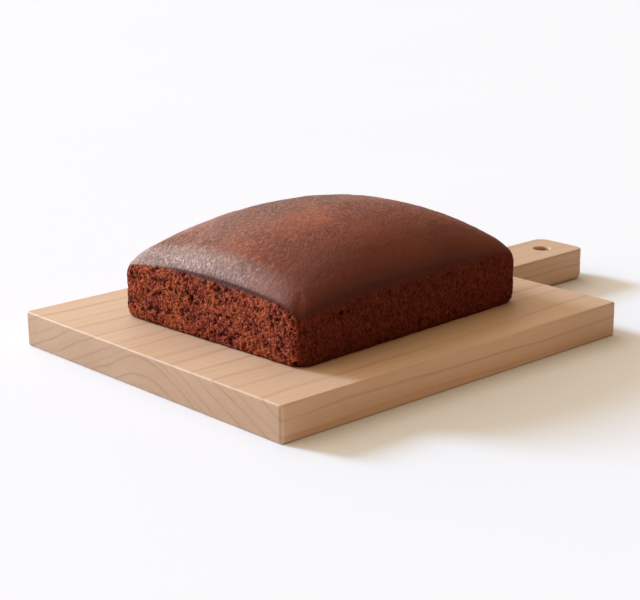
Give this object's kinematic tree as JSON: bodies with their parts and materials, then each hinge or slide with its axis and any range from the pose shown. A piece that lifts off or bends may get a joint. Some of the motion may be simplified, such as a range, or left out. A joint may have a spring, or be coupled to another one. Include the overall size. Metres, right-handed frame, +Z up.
{
  "type": "chocolate cake on a wooden serving board",
  "caption": "Small rectangular chocolate cake with a domed top, resting on a flat wooden serving board with a paddle handle and a hanging hole.",
  "frame": {"origin": "on the board's underside, at the middle of the board's whole outline with its handle", "axes": "+Z up, +X along the board's grain towards the handle, +Y across the board"},
  "size_m": [0.3416, 0.22, 0.0806],
  "materials": {
    "board_wood": "satin",
    "cake_sponge": "matte"
  },
  "bodies": {
    "root": {"cutting_board": "board_wood", "cake": "cake_sponge"}
  },
  "joints": []
}
